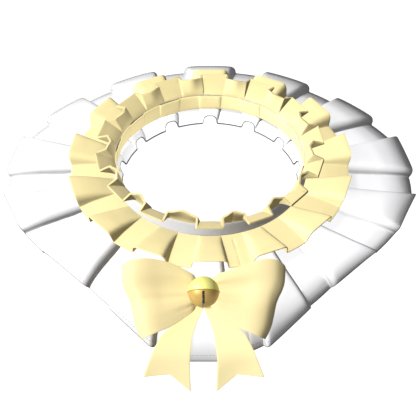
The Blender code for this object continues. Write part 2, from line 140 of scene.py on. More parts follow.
def clamp(value, low=0.0, high=1.0):
    return min(max(value, low), high)


def roundTurns(count):
    return [2 * math.pi * index / count for index in range(count)]


# Trees and meshes

def addThing(name, data):
    thing = bpy.data.objects.new(name, data)
    scene.collection.objects.link(thing)
    return thing


def newTree(name, sizes):
    # an empty geometry tree with one named input for each size
    tree = bpy.data.node_groups.new(name, "GeometryNodeTree")
    tree.interface.new_socket("Geometry", in_out="INPUT", socket_type="NodeSocketGeometry")
    for label, value in sizes.items():
        socket = tree.interface.new_socket(label, in_out="INPUT", socket_type="NodeSocketFloat")
        socket.default_value = value
    tree.interface.new_socket("Geometry", in_out="OUTPUT", socket_type="NodeSocketGeometry")
    start = tree.nodes.new("NodeGroupInput")
    inputs = {label: Wire(tree, start.outputs[label]) for label in sizes}
    return Board(tree), inputs, Wire(tree, start.outputs["Geometry"])


def endTree(board, geometry, finish):
    # realized, coloured and sent out
    real = board.add("GeometryNodeRealizeInstances", None, {"Geometry": geometry})
    painted = board.add("GeometryNodeSetMaterial", None, {"Geometry": real, "Material": finish})
    last = board.tree.nodes.new("NodeGroupOutput")
    plug(board.tree, last.inputs["Geometry"], painted)
    return board.tree


def evaluated(thing):
    bpy.context.view_layer.update()
    graph = bpy.context.evaluated_depsgraph_get()
    return bpy.data.meshes.new_from_object(thing.evaluated_get(graph))


def grow(name, tree, sizes, start=None):
    # runs a tree on a start mesh and keeps the result as a plain mesh
    thing = addThing(name, start or bpy.data.meshes.new(name))
    growing = thing.modifiers.new("growing", "NODES")
    growing.node_group = tree
    for item in tree.interface.items_tree:
        if item.in_out == "INPUT" and item.name in sizes:
            growing[item.identifier] = float(sizes[item.name])
    mesh = evaluated(thing)
    thing.modifiers.remove(growing)
    thing.data = mesh
    return thing


def meshFrom(work, name):
    mesh = bpy.data.meshes.new(name)
    work.to_mesh(mesh)
    work.free()
    return mesh


def tidyMesh(mesh, gap):
    work = bmesh.new()
    work.from_mesh(mesh)
    bmesh.ops.remove_doubles(work, verts=work.verts, dist=gap)
    bmesh.ops.recalc_face_normals(work, faces=work.faces)
    work.to_mesh(mesh)
    work.free()


def roundEdges(thing, width):
    rounded = thing.modifiers.new("edge", "BEVEL")
    rounded.width = width
    rounded.segments = 2
    rounded.limit_method = "ANGLE"
    rounded.angle_limit = math.radians(50)
    rounded.harden_normals = False


def shadeSmooth(mesh, angle=None):
    # smooth, apart from edges that turn by more than the angle, in degrees
    mesh.polygons.foreach_set("use_smooth", [True] * len(mesh.polygons))
    if angle:
        mesh.set_sharp_from_angle(angle=math.radians(angle))


def thicken(thing, wall, edge):
    # gives a single surface its cloth wall, with its cut edges rounded
    tidyMesh(thing.data, 0.02 * mm)
    shell = thing.modifiers.new("wall", "SOLIDIFY")
    shell.thickness = wall
    shell.offset = 0.0
    shell.use_even_offset = True
    shell.use_quality_normals = True
    roundEdges(thing, edge)
    mesh = evaluated(thing)
    thing.modifiers.clear()
    thing.data = mesh
    shadeSmooth(mesh, 60.0)


def fromRows(name, rows, closed=False, uvScale=(1.0, 1.0)):
    # a surface through rows of points, with a UV map in metres
    count = len(rows[0])
    verts = [tuple(point) for row in rows for point in row]
    faces = []
    uvs = []
    wide = count if closed else count - 1
    for i in range(len(rows) - 1):
        for j in range(wide):
            k = (j + 1) % count
            faces.append((i * count + j, i * count + k, (i + 1) * count + k, (i + 1) * count + j))
            near, far = j / wide * uvScale[0], (j + 1) / wide * uvScale[0]
            low, high = [row / (len(rows) - 1) * uvScale[1] for row in (i, i + 1)]
            uvs += [near, low, far, low, far, high, near, high]
    mesh = bpy.data.meshes.new(name)
    mesh.from_pydata(verts, [], faces)
    layer = mesh.uv_layers.new(name="cloth")
    layer.data.foreach_set("uv", uvs)
    return addThing(name, mesh)


def keep(thing, node, finish=None):
    # the piece rides on the collar, stands for its CAD node and takes its finish
    if finish:
        thing.data.materials.clear()
        thing.data.materials.append(finish)
    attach(thing, "root")
    if node:
        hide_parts(node)


# Camera, light and floor

view = {
    "distance": 9.0,
    "frameWidth": 0.3885,      # what the photograph's width spans at the collar
    "aimDown": 0.0362,
    "elevation": 42.68,        # degrees
    "sensor": 36.0,            # mm
    "clipEnd": 60.0,
}


def makeCamera():
    lean = math.radians(view["elevation"])
    back = Vector((0, -math.cos(lean), math.sin(lean)))
    up = Vector((0, math.sin(lean), math.cos(lean)))
    data = bpy.data.cameras.new("camera")
    data.sensor_width = view["sensor"]
    data.lens = data.sensor_width * view["distance"] / view["frameWidth"]
    data.clip_end = view["clipEnd"]
    camera = addThing("camera", data)
    camera.matrix_world = Matrix((Vector((1, 0, 0)), up, back)).transposed().to_4x4()
    camera.location = back * view["distance"] - up * view["aimDown"]
    scene.camera = camera


light = {
    "key": 0.8,
    "keyFrom": (-0.70, -0.30, 0.65),
    "keySoftness": 50.0,       # degrees
    "fill": 4.4,               # from the same side, shaded only by what fillShade names
    "fillSoftness": 22.0,
    "fillShade": ("bowKnot",),
    "fillSkips": ("bowKnot",),      # it lies in the bell's shade
    "noBounce": ("whiteTier", "creamTier", "standRuffle", "collarBand"),      # they tint no neighbour
    "sky": 0.155,
    "inside": 0.15,            # a small soft lamp in the neck, for the hollow
    "insideAt": (-0.025, 0.01, -0.005),
    "insideSize": 0.03,
}


def makeLight():
    for name in ("key", "fill"):
        data = bpy.data.lights.new(name, "SUN")
        data.energy = light[name]
        data.angle = math.radians(light[name + "Softness"])
        lamp = addThing(name, data)
        lamp.rotation_euler = Vector(light["keyFrom"]).to_track_quat("Z", "Y").to_euler()
    data = bpy.data.lights.new("inside", "POINT")
    data.energy = light["inside"]
    data.shadow_soft_size = light["insideSize"]
    lamp = addThing("inside", data)
    lamp.location = light["insideAt"]
    lamp.visible_camera = False
    world = bpy.data.worlds.new("studio")
    world.use_nodes = True
    back = world.node_tree.nodes["Background"]
    back.inputs["Color"].default_value = (1.0, 1.0, 1.0, 1.0)
    back.inputs["Strength"].default_value = light["sky"]
    scene.world = world
    scene.view_settings.view_transform = "Standard"


def lightGroup(key):
    group = bpy.data.collections.new(key)
    for name in light[key]:
        group.objects.link(bpy.data.objects[name])
    return group


def limitLight():
    # the fill is shaded by one piece alone, as under a wide studio cloth, and leaves one piece out
    linking = bpy.data.objects["fill"].light_linking
    linking.blocker_collection = lightGroup("fillShade")
    skipped = lightGroup("fillSkips")
    for member in skipped.collection_objects:
        member.light_linking.link_state = "EXCLUDE"
    linking.receiver_collection = skipped
    for name in light["noBounce"]:
        bpy.data.objects[name].visible_diffuse = False


floorLook = {
    "height": -0.72, "half": 6.0, "roughness": 0.9, "fleck": 60.0,
    "dark": (0.94, 0.94, 0.94, 1), "light": (0.96, 0.96, 0.96, 1),
}


def newFinish(name):
    finish = bpy.data.materials.new(name)
    finish.use_nodes = True
    return finish, Board(finish.node_tree)


def dress(board, values):
    shader = board.tree.nodes["Principled BSDF"]
    for label, value in values.items():
        plug(board.tree, shader.inputs[label], value)


def makeFloor():
    half = floorLook["half"]
    mesh = bpy.data.meshes.new("floor")
    corners = [(x * half, y * half, floorLook["height"]) for x, y in ((-1, -1), (1, -1), (1, 1), (-1, 1))]
    mesh.from_pydata(corners, [], [(0, 1, 2, 3)])
    floor = addThing("floor", mesh)
    paper, board = newFinish("palePaper")
    place = board.add("ShaderNodeTexCoord", None, None, "Object")
    fleck = board.add("ShaderNodeTexNoise", None, {"Vector": place, "Scale": floorLook["fleck"]})
    tone = board.mixColour(fleck, floorLook["dark"], floorLook["light"])
    dress(board, {"Base Color": tone, "Roughness": floorLook["roughness"]})
    mesh.materials.append(paper)
    floor.visible_diffuse = False      # keeps the folds' undersides from being lit up from below


makeCamera()
makeLight()
makeFloor()
print("camera, light and floor made")


# Finishes

cotton = {"roughness": 0.86, "sheen": 0.12, "thread": 0.55 * mm, "weave": 0.05 * mm}
creamCloth = {**cotton, "roughness": 0.82}
ribbon = {"roughness": 0.58, "sheen": 0.2, "thread": 0.42 * mm, "weave": 0.03 * mm}
cloths = {
    "whiteCotton": {
        **cotton, "light": (0.93, 0.93, 0.94), "dark": (0.89, 0.89, 0.905),
        # the heading's inner edge and the hem's last 0.8 mm are painted dark grey, as painted shade
        "edges": (1.9 * mm, 124.2 * mm), "edge": (0.09, 0.09, 0.10),
        "hemRoll": (82.0 * mm, 43.0 * mm),      # where it starts and how far it goes
    },
    # the band's white cotton is painted light grey: painted shade under the ruffle
    "shadedBandCotton": {**cotton, "light": (0.74, 0.74, 0.76), "dark": (0.70, 0.70, 0.725)},
    "creamCotton": {**creamCloth, "light": (0.92, 0.785, 0.40), "dark": (0.88, 0.735, 0.36)},
    # the ruffle's cream is painted darker than the same cream in the tier: painted shade
    "shadedRuffleCotton": {**creamCloth, "light": (0.77, 0.65, 0.325), "dark": (0.73, 0.61, 0.30)},
    "creamRibbon": {**ribbon, "light": (0.83, 0.70, 0.375), "dark": (0.79, 0.665, 0.345)},
    # the tails' ribbon is painted brighter than the same ribbon in the loops and knot: painted light
    "litTailRibbon": {**ribbon, "light": (0.99, 0.85, 0.46), "dark": (0.96, 0.82, 0.43)},
}
clothGrain = {
    "cloud": 22.0,                    # patches of colour
    "slub": (30.0, 900.0, 1.0),       # slubs that run along the strip
    "relief": 0.6, "roughSpread": 0.12, "sheenRoughness": 0.4, "gloss": 0.25,
}


def clothFinish(name):
    # plain weave on the piece's own UV map, with slubs and a faint unevenness of colour
    look = cloths[name]
    finish, board = newFinish(name)
    uv = board.add("ShaderNodeUVMap", {"uv_map": "cloth"})
    along, width, _ = board.parts(uv)
    thread = math.pi / look["thread"]
    weave = (along * thread).sine() * (width * thread).sine()
    place = board.add("ShaderNodeTexCoord", None, None, "Object")
    cloud = board.add(
        "ShaderNodeTexNoise", None, {"Vector": place, "Scale": clothGrain["cloud"], "Detail": 3.0},
    )
    slubPlace = board.add("ShaderNodeMapping", None, {"Vector": uv, "Scale": clothGrain["slub"]})
    slub = board.add("ShaderNodeTexNoise", None, {"Vector": slubPlace, "Scale": 1.0, "Detail": 1.0})
    tone = ((cloud * 0.7 + slub * 0.3 - 0.25) * 1.6).most(0.0).least(1.0)
    colour = board.mixColour(tone, (*look["light"], 1), (*look["dark"], 1))
    if "edges" in look:
        # the cut edges are painted dark grey: painted shade for the cloth's edges in shadow
        cut = width.over(look["edges"][1]) + (1.0 - width.over(look["edges"][0]))
        colour = board.mixColour(cut, colour, (*look["edge"], 1))
    reliefInputs = {
        "Height": weave * 0.5 + slub * 0.8, "Distance": look["weave"], "Strength": clothGrain["relief"],
    }
    if "hemRoll" in look:
        # hems and fold edges are shaded as softly rolled, as they are in the photograph
        start, length = look["hemRoll"]
        past = (width - start).most(0.0)
        softHem = board.add("ShaderNodeAttribute", {"attribute_name": "softHem"}, None, "Fac")
        softSide = board.add("ShaderNodeAttribute", {"attribute_name": "softSide"}, None, "Fac")
        level = 0.0 - softSide - softHem * past * past / (2.0 * length)
        reliefInputs["Normal"] = board.add(
            "ShaderNodeBump", None, {"Height": level, "Distance": 1.0, "Strength": 1.0},
        )
    dress(board, {
        "Base Color": colour, "Roughness": look["roughness"] + (slub - 0.5) * clothGrain["roughSpread"],
        "Sheen Weight": look["sheen"], "Sheen Roughness": clothGrain["sheenRoughness"],
        "Specular IOR Level": clothGrain["gloss"],
        "Normal": board.add("ShaderNodeBump", None, reliefInputs),
    })
    return finish


plated = {"metallic": 0.3, "scratch": 0.02 * mm}
metals = {
    "paleBrass": {**plated, "light": (1.0, 0.97, 0.30), "dark": (0.95, 0.90, 0.25), "roughness": 0.62},
    "goldBrass": {**plated, "light": (0.62, 0.42, 0.115), "dark": (0.48, 0.32, 0.08), "roughness": 0.46},
    # the pellet's steel is painted near-black: painted shade inside the bell
    "shadedPelletSteel": {**plated, "light": (0.07, 0.07, 0.075), "dark": (0.04, 0.04, 0.045), "roughness": 0.4},
}
metalGrain = {
    "smear": 140.0, "scratches": (90.0, 900.0, 900.0), "relief": 0.4, "roughSpread": 0.25,
    "inside": (0.035, 0.03, 0.03, 1),      # painted shade: the bell's inner side painted near-black
}


def metalFinish(name):
    # plated metal with soft handling marks and fine scratches
    look = metals[name]
    finish, board = newFinish(name)
    place = board.add("ShaderNodeTexCoord", None, None, "Object")
    smear = board.add(
        "ShaderNodeTexNoise", None, {"Vector": place, "Scale": metalGrain["smear"], "Detail": 4.0},
    )
    lines = board.add("ShaderNodeMapping", None, {"Vector": place, "Scale": metalGrain["scratches"]})
    fine = board.add("ShaderNodeTexNoise", None, {"Vector": lines, "Scale": 2.0, "Detail": 2.0})
    tone = ((smear - 0.42) * 2.2).most(0.0).least(1.0)
    colour = board.mixColour(tone, (*look["light"], 1), (*look["dark"], 1))
    # the bell's inner side is painted near-black: painted shade inside the bell
    hollow = board.add("ShaderNodeAttribute", {"attribute_name": "hollow"}, None, "Fac")
    scratched = board.add(
        "ShaderNodeBump", None,
        {"Height": fine, "Distance": look["scratch"], "Strength": metalGrain["relief"]},
    )
    dress(board, {
        "Base Color": board.mixColour(hollow, colour, metalGrain["inside"]),
        "Roughness": look["roughness"] + (smear - 0.5) * metalGrain["roughSpread"],
        "Metallic": look["metallic"], "Normal": scratched,
    })
    return finish


finishes = {name: clothFinish(name) for name in cloths}
finishes.update({name: metalFinish(name) for name in metals})
print("finishes made:", ", ".join(finishes))


# Pleated rings

def hemCurve(board, folded, table, column):
    # reads the hem table at an angle from the front, the same on both sides
    values = [row[column] for row in table]
    low, high = min(values), max(values)
    span = max(high - low, 1e-6)
    points = [(row[0] / 180.0, (row[column] - low) / span) for row in table]
    level = board.add("ShaderNodeFloatCurve", {"curve": points}, {"Value": folded / 180.0})
    return (level * span + low) * mm


def curveAt(start, near, far, end, share):
    # a point of a bent line with two handles, for sockets, numbers or vectors
    rest = 1.0 - share
    return (
        rest * rest * rest * start + 3.0 * rest * rest * share * near
        + 3.0 * rest * share * share * far + share * share * share * end
    )


def runAt(start, near, far, end, share):
    # the way that line runs there
    rest = 1.0 - share
    return rest * rest * (near - start) + 2.0 * rest * share * (far - near) + share * share * (end - far)


def pleatPlace(size, across):
    # a pleat's middle, half the gap to the next, the side of it, and the share of the way out from it
    turn = across * size["pleats"]
    cell = turn.floor().least(size["pleats"] - 1.0)
    half = (turn - cell) * 2.0 - 1.0
    after = half.over(0.0)
    first = (1.0 - cell).most(0.0)
    second = 1.0 - abs(cell - 1.0).least(1.0)
    last = (cell - (size["pleats"] - 2.0)).most(0.0)
    endGap = 360.0 - (size["firstGap"] + (size["pleats"] - 2.0) * size["pitch"])
    centre = (1.0 - first) * (size["firstGap"] + (cell - 1.0) * size["pitch"])
    gapAfter = first * size["firstGap"] + last * endGap + (1.0 - first - last) * size["pitch"]
    gapBefore = first * endGap + second * size["firstGap"] + (1.0 - first - second) * size["pitch"]
    return centre, between(gapBefore, gapAfter, after) * 0.5, after * 2.0 - 1.0, abs(half)


foldAt = {"roll": 0.18, "wall": 0.52, "floor": 0.80}      # where each part of a half pleat starts
runHeld = (0.08, 0.86)      # the depth's direction is taken no nearer to the profile's ends


def ringPlace(board, size, hemTable, across, along):
    # where a point of a pleated ring lies: across goes once round, along from the inner edge to the hem
    centre, gap, way, spread = pleatPlace(size, across)
    reach = ramp(along, size["headingShare"], 1.0)        # 0 at the seam, 1 at the hem
    heading = ramp(along, 0.0, size["headingShare"])      # 0 at the inner edge, 1 at the seam
    box = between(size["headingBox"], between(size["boxAtNeck"], size["boxAtHem"], reach), heading)
    side = between(size["headingSide"], between(size["sideAtNeck"], size["sideAtHem"], reach), heading)
    # the flat front, its rolled edge, the side wall, the space beside it
    flat = ramp(spread, 0.0, foldAt["roll"])
    roll = ramp(spread, foldAt["roll"], foldAt["wall"])
    wall = ramp(spread, foldAt["wall"], foldAt["floor"])
    space = ramp(spread, foldAt["floor"], 1.0)
    bent = roll * size["rollTurn"]
    rollWidth = between(size["rollAtNeck"], size["rollAtHem"], reach)
    rolled = rollWidth * size["rollTurn"].sine()
    offset = (box - rollWidth) * flat + rollWidth * bent.sine() + side * wall
    offset = offset + (gap - box + rollWidth - rolled - side) * space
    angle = centre + way * offset
    radian = math.pi / 180.0
    chord = (box * radian).cosine() / (offset.least(box) * radian).cosine()
    sunk = size["rollShare"] * (1.0 - bent.cosine()) / (1.0 - size["rollTurn"].cosine())
    sunk = sunk + (1.0 - size["rollShare"]) * (1.0 - (1.0 - wall) ** 2.0)
    rise = 1.0 - sunk

    # the profile from the seam to the hem, and the way out from the cloth
    folded = 180.0 - abs(180.0 - abs(angle))
    hemRadius = hemCurve(board, folded, hemTable, 1)
    hemHeight = hemCurve(board, folded, hemTable, 2)
    steep = hemHeight / size["frontHem"]                  # 1 where the front hangs down
    out = hemRadius - size["neckRadius"]
    fall = hemHeight - size["neckHeight"]
    farUp = size["hemUp"] + size["hemUpFront"] * steep
    radii = (
        size["neckRadius"], size["neckRadius"] + size["neckReach"] * out,
        hemRadius - size["hemReach"] * out, hemRadius,
    )
    heights = (
        size["neckHeight"], size["neckHeight"] + size["neckFall"] * fall + size["neckUp"],
        hemHeight - size["hemFall"] * fall + farUp, hemHeight,
    )
    held = reach.most(runHeld[0]).least(runHeld[1])
    runOut = runAt(*radii, held)
    runUp = runAt(*heights, held)
    length = (runOut * runOut + runUp * runUp).root()
    deepOut = 0.0 - runUp / length
    deepUp = runOut / length

    # how far the space beside a pleat is set back, drawn in and lifted
    early = ramp(reach, 0.0, size["middle"])
    late = ramp(reach, size["middle"], 1.0)
    depth = between(between(size["depthAtNeck"], size["depthMiddle"], early), size["depthAtHem"], late)
    turned = (angle * radian).sine()
    grown = reach ** size["power"]
    inset = size["inset"] + size["insetSides"] * turned * turned
    inset = (inset + size["insetMiddle"] * smooth(space)) * grown
    lift = (size["lift"] + size["liftFront"] * steep) * grown
    lift = lift + size["peak"] * reach * smooth(space)

    # the fronts swell a little between their folds, and the cloth is a little uneven
    swell = size["puffMiddle"] - (offset.least(box) / box) ** 2.4      # highest in the middle of a front
    filled = ramp(reach, 0.0, 0.3) * (1.0 - size["puffEnd"] * reach ** 6.0)
    filled = filled * (1.0 - size["puffFront"] * steep)
    spot = board.vector(across * size["pleats"] * 1.3, along * 3.0, size["seed"])
    noise = board.add("ShaderNodeTexNoise", None, {"Vector": spot, "Scale": 1.0, "Detail": 2.0})
    slack = (noise - 0.5) * size["uneven"] * ramp(reach, 0.05, 0.5)
    proud = size["puff"] * filled * rise * swell + slack
    radius = curveAt(*radii, reach) * chord - deepOut * (sunk * depth - proud) - sunk * inset
    height = curveAt(*heights, reach) - deepUp * (sunk * depth - proud) + sunk * lift

    # the heading runs from the inner edge to the seam, on a bent path
    edgeRadius = between(size["recessEdgeRadius"], size["boxEdgeRadius"], rise)
    edgeHeight = between(size["recessEdgeHeight"], size["boxEdgeHeight"], rise)
    cornerRadius = (edgeRadius + radius) * 0.5 + size["bendRadius"]
    cornerHeight = (edgeHeight + height) * 0.5 + size["bendHeight"]
    rest = 1.0 - heading
    radius = rest * rest * edgeRadius + 2.0 * rest * heading * cornerRadius + heading * heading * radius
    height = rest * rest * edgeHeight + 2.0 * rest * heading * cornerHeight + heading * heading * height
    radius = radius + deepOut * size["outward"]
    height = height + deepUp * size["outward"]
    turn = angle * radian
    position = board.vector(0.0 - radius * turn.sine(), 0.0 - radius * turn.cosine(), height)
    # what the finish adds to the shading: how far the hem seems to roll over, and the fold's edges
    softHem = between(size["softHem"], size["softHemFront"], steep)
    softSide = (roll * roll * size["rollLength"] * 0.5 + wall * size["wallLength"]) * size["softSide"]
    return position, softHem, softSide


def ringTree(name, sizes, hemTable, build):
    # a pleated ring as a grid: columns for each half pleat, rows from the inner edge to the hem
    board, size, _ = newTree(name, sizes)
    count = int(sizes["pleats"]) * 2 * build["columns"]
    grid = board.add(
        "GeometryNodeMeshGrid", None,
        {"Size X": 1.0, "Size Y": 1.0, "Vertices X": count + 1, "Vertices Y": build["rows"]}, "Mesh",
    )
    flat = Wire(board.tree, grid.socket.node.outputs["UV Map"])
    scaled = board.add(
        "ShaderNodeVectorMath", {"operation": "MULTIPLY"},
        {0: flat, 1: board.vector(size["clothLength"], size["clothWidth"], 0.0)},
    )
    stored = board.add(
        "GeometryNodeStoreNamedAttribute", {"data_type": "FLOAT2", "domain": "CORNER"},
        {"Geometry": grid, "Name": "cloth", "Value": scaled},
    )
    x, y, _ = board.parts(board.add("GeometryNodeInputPosition"))
    position, softHem, softSide = ringPlace(board, size, hemTable, x + 0.5, y + 0.5)
    for label, value in (("softHem", softHem), ("softSide", softSide)):
        stored = board.add(
            "GeometryNodeStoreNamedAttribute", {"data_type": "FLOAT", "domain": "POINT"},
            {"Geometry": stored, "Name": label, "Value": value},
        )
    moved = board.add("GeometryNodeSetPosition", None, {"Geometry": stored, "Position": position})
    return endTree(board, moved, finishes[build["finish"]])


stitchSizes = {"length": 2.3 * mm, "gap": 0.9 * mm, "thread": 0.30 * mm}
stitchLift = 0.05 * mm      # the thread's middle lies this far off the cloth


def stitchMesh(board, size):
    # one stitch: a short thread with pinched ends, lying along X
    line = board.add(
        "GeometryNodeMeshCylinder", {"fill_type": "NGON"},
        {"Vertices": 6, "Side Segments": 2, "Radius": size["thread"] * 0.5, "Depth": size["length"]},
        "Mesh",
    )
    x, y, z = board.parts(board.add("GeometryNodeInputPosition"))
    end = abs(z) / (size["length"] * 0.5)
    slim = 1.0 - end * end * 0.45
    dip = end * end * size["thread"] * 0.55
    lying = board.vector(z, y * slim, x * slim - dip)
    return board.add("GeometryNodeSetPosition", None, {"Geometry": line, "Position": lying})


def stitchAlong(board, line, size, finish, normal):
    # stitches at even steps along a line of edges
    curve = board.add("GeometryNodeMeshToCurve", None, {"Mesh": line})
    points = board.add(
        "GeometryNodeCurveToPoints", {"mode": "LENGTH"},
        {"Curve": curve, "Length": size["length"] + size["gap"]}, "Points",
    )
    tangent = Wire(board.tree, points.socket.node.outputs["Tangent"])
    turn = board.add("FunctionNodeAlignRotationToVector", {"axis": "X"}, {"Vector": tangent})
    turn = board.add(
        "FunctionNodeAlignRotationToVector", {"axis": "Z", "pivot_axis": "X"},
        {"Rotation": turn, "Vector": normal},
    )
    placed = board.add(
        "GeometryNodeInstanceOnPoints", None,
        {"Points": points, "Instance": stitchMesh(board, size), "Rotation": turn},
    )
    return endTree(board, placed, finish)


def ringStitchTree(name, sizes, hemTable, finish):
    # a row of stitches that follows the ring's cloth at one distance from its hem
    board, size, _ = newTree(name, sizes)
    line = board.add(
        "GeometryNodeMeshLine", {"mode": "END_POINTS"},
        {"Count": 2800, "Start Location": (0, 0, 0), "Offset": (1.0, 0, 0)},
    )
    across, _, _ = board.parts(board.add("GeometryNodeInputPosition"))
    position, _, _ = ringPlace(board, size, hemTable, across, size["stitchAt"])
    moved = board.add("GeometryNodeSetPosition", None, {"Geometry": line, "Position": position})
    return stitchAlong(board, moved, size, finish, board.vector(0.0, 0.0, 1.0))


plainRing = {
    "pleats": 14.0, "firstGap": 360.0 / 14, "pitch": 360.0 / 14,      # pitch in degrees, like all widths
    "neckReach": 1 / 3, "neckFall": 1 / 3, "neckUp": 0.0,
    "hemReach": 1 / 3, "hemFall": 1 / 3, "hemUp": 0.0, "hemUpFront": 0.0,
    "depthAtNeck": 0.0, "depthMiddle": 0.0, "middle": 0.5, "depthAtHem": 0.0,
    "inset": 0.0, "insetSides": 0.0, "insetMiddle": 0.0, "power": 1.0,
    "lift": 0.0, "liftFront": 0.0, "frontHem": 1.0, "peak": 0.0,
    "rollTurn": math.radians(90), "rollAtNeck": 0.7, "rollAtHem": 0.7, "rollShare": 0.2,
    "puff": 0.0, "puffEnd": 1.0, "puffFront": 0.0, "puffMiddle": 1.0, "uneven": 0.0, "seed": 1.0,
    "softHem": 0.0, "softHemFront": 0.0, "softSide": 0.0, "rollLength": 9.0 * mm, "wallLength": 2.6 * mm,
    "outward": 0.0, "bendRadius": 0.0, "bendHeight": 0.0,
}

whiteTier = {
    **plainRing,
    "neckRadius": 88.6 * mm, "neckHeight": -2.7 * mm,
    "neckReach": 0.31, "neckFall": 0.14, "neckUp": -1.4 * mm,
    "hemReach": 0.12, "hemFall": 0.25, "hemUpFront": 7.4 * mm,
    "boxAtNeck": 6.0, "boxAtHem": 8.2, "sideAtNeck": 0.3, "sideAtHem": 0.5,
    "rollAtNeck": 3.0, "rollAtHem": 1.5, "rollShare": 0.74,
    "depthAtNeck": 3.4 * mm, "depthMiddle": 8.6 * mm, "middle": 0.42, "depthAtHem": 7.4 * mm,
    "insetSides": 3.6 * mm, "liftFront": 3.6 * mm, "frontHem": -76.4 * mm, "power": 3.0,
    "puff": 2.4 * mm, "puffEnd": 0.35, "puffFront": 0.7, "puffMiddle": 0.5,
    "uneven": 1.6 * mm, "seed": 4.0,
    "headingShare": 0.13, "headingBox": 4.2, "headingSide": 0.9,
    "boxEdgeRadius": 85.1 * mm, "boxEdgeHeight": -8.6 * mm,
    "recessEdgeRadius": 81.2 * mm, "recessEdgeHeight": -14.8 * mm,
    "softHem": 0.42, "softHemFront": 0.46, "softSide": 0.33,
    "clothLength": 1.30, "clothWidth": 0.125, "stitchAt": 0.945,
}
# degrees from the front, radius in mm, height in mm
whiteHem = (
    (0.0, 177.1, -76.4), (7.2, 177.1, -76.4), (18.5, 173.3, -68.8), (33.0, 169.1, -42.2),
    (44.0, 168.0, -31.0), (58.6, 180.1, -14.6), (70.0, 187.4, -10.8), (84.4, 192.0, -12.0),
    (95.6, 189.6, -15.6), (110.0, 185.7, -14.8), (121.4, 177.5, -15.9), (136.0, 171.9, -20.0),
    (147.0, 168.2, -19.2), (161.5, 167.5, -19.3), (180.0, 167.1, -19.4),
)
whiteBuild = {
    "columns": 19, "rows": 60, "wall": 1.1 * mm, "edge": 0.3 * mm,
    "finish": "whiteCotton", "node": "white_tier", "slot": "white_cotton",
}

creamTier = {
    **plainRing,
    "neckRadius": 88.0 * mm, "neckHeight": -0.9 * mm, "neckUp": 1.33 * mm, "hemUp": 1.33 * mm,
    "boxAtNeck": 6.2, "boxAtHem": 7.5, "sideAtNeck": 0.4, "sideAtHem": 0.6,
    "rollAtNeck": 2.2, "rollAtHem": 2.0, "rollShare": 0.7,
    "depthMiddle": 5.9 * mm, "depthAtHem": 11.9 * mm, "inset": 5.6 * mm,
    "puff": 0.5 * mm, "uneven": 1.0 * mm, "seed": 9.0,
    "headingShare": 0.26, "headingBox": 6.6, "headingSide": 0.8,
    "boxEdgeRadius": 86.0 * mm, "boxEdgeHeight": 15.3 * mm,
    "recessEdgeRadius": 87.1 * mm, "recessEdgeHeight": 15.3 * mm,
    "bendRadius": -0.7 * mm, "bendHeight": -7.6 * mm,
    "clothLength": 0.99, "clothWidth": 0.060, "stitchAt": 0.90,
}
creamHem = ((0.0, 132.3, 7.9), (90.0, 132.3, 7.9), (180.0, 132.3, 7.9))
creamBuild = {
    "columns": 16, "rows": 34, "wall": 1.0 * mm, "edge": 0.28 * mm,
    "finish": "creamCotton", "node": "cream_tier", "slot": "cream_cotton",
}

standRuffle = {
    **plainRing,
    "firstGap": 31.1, "pitch": 25.2,
    "neckRadius": 88.6 * mm, "neckHeight": 15.5 * mm, "neckReach": 0.0, "hemReach": 0.453,
    "boxAtNeck": 6.0, "boxAtHem": 6.8, "sideAtNeck": 0.5, "sideAtHem": 0.5,
    "rollAtNeck": 0.4, "rollAtHem": 0.4, "rollShare": 0.1,
    "inset": 10.2 * mm, "insetMiddle": 3.5 * mm, "lift": 4.5 * mm, "power": 1.6, "peak": 2.1 * mm,
    "puff": 0.3 * mm, "uneven": 0.7 * mm, "seed": 6.0,
    "headingShare": 0.03, "headingBox": 6.0, "headingSide": 0.6,
    "boxEdgeRadius": 88.6 * mm, "boxEdgeHeight": 15.3 * mm,
    "recessEdgeRadius": 88.6 * mm, "recessEdgeHeight": 15.3 * mm,
    "clothLength": 0.86, "clothWidth": 0.024,
}
ruffleHem = ((0.0, 106.0, 25.3), (90.0, 106.0, 25.3), (180.0, 106.0, 25.3))
ruffleBuild = {
    "columns": 16, "rows": 16, "wall": 1.9 * mm, "edge": 0.75 * mm,
    "finish": "shadedRuffleCotton", "node": "stand_ruffle", "slot": "cream_cotton_ruffle",
}


def makeRing(name, sizes, hemTable, build):
    ring = grow(name, ringTree(name + "Tree", sizes, hemTable, build), sizes)
    thicken(ring, build["wall"], build["edge"])
    keep(ring, build["node"])
    print(name, "made,", len(ring.data.polygons), "faces")
    return ring


whiteRing = makeRing("whiteTier", whiteTier, whiteHem, whiteBuild)
creamRing = makeRing("creamTier", creamTier, creamHem, creamBuild)
ruffleRing = makeRing("standRuffle", standRuffle, ruffleHem, ruffleBuild)


# Neckband, with the stitches of the band and the hems

neckband = {
    "radius": 89.2 * mm, "low": 0.5 * mm, "high": 14.8 * mm, "wall": 1.1 * mm, "edge": 0.35 * mm,
    "sides": 252, "steps": 10,
    "waves": 9, "wave": 0.12 * mm, "waveStart": 1.3, "crown": 0.10 * mm,
    "stitches": (("Low", 2.3 * mm), ("High", 12.6 * mm)), "stitchSides": 360,
}


def bandPoint(turn, height, out=0.0):
    # a plain band that is a little uneven, as turned cloth is
    level = (height - neckband["low"]) / (neckband["high"] - neckband["low"])
    ease = neckband["crown"] + neckband["wave"] * math.sin(neckband["waves"] * turn + neckband["waveStart"])
    radius = neckband["radius"] - neckband["wall"] / 2 + ease * math.sin(math.pi * level) + out
    return (-radius * math.sin(turn), -radius * math.cos(turn), height)


def makeNeckband():
    rows = []
    for index in range(neckband["steps"] + 1):
        height = between(neckband["low"], neckband["high"], index / neckband["steps"])
        rows.append([bandPoint(turn, height) for turn in roundTurns(neckband["sides"])])
    band = fromRows("collarBand", rows, closed=True, uvScale=(0.56, 0.0145))
    thicken(band, neckband["wall"], neckband["edge"])
    keep(band, "neckband", finishes["shadedBandCotton"])
    return band


band = makeNeckband()
print("neckband made")


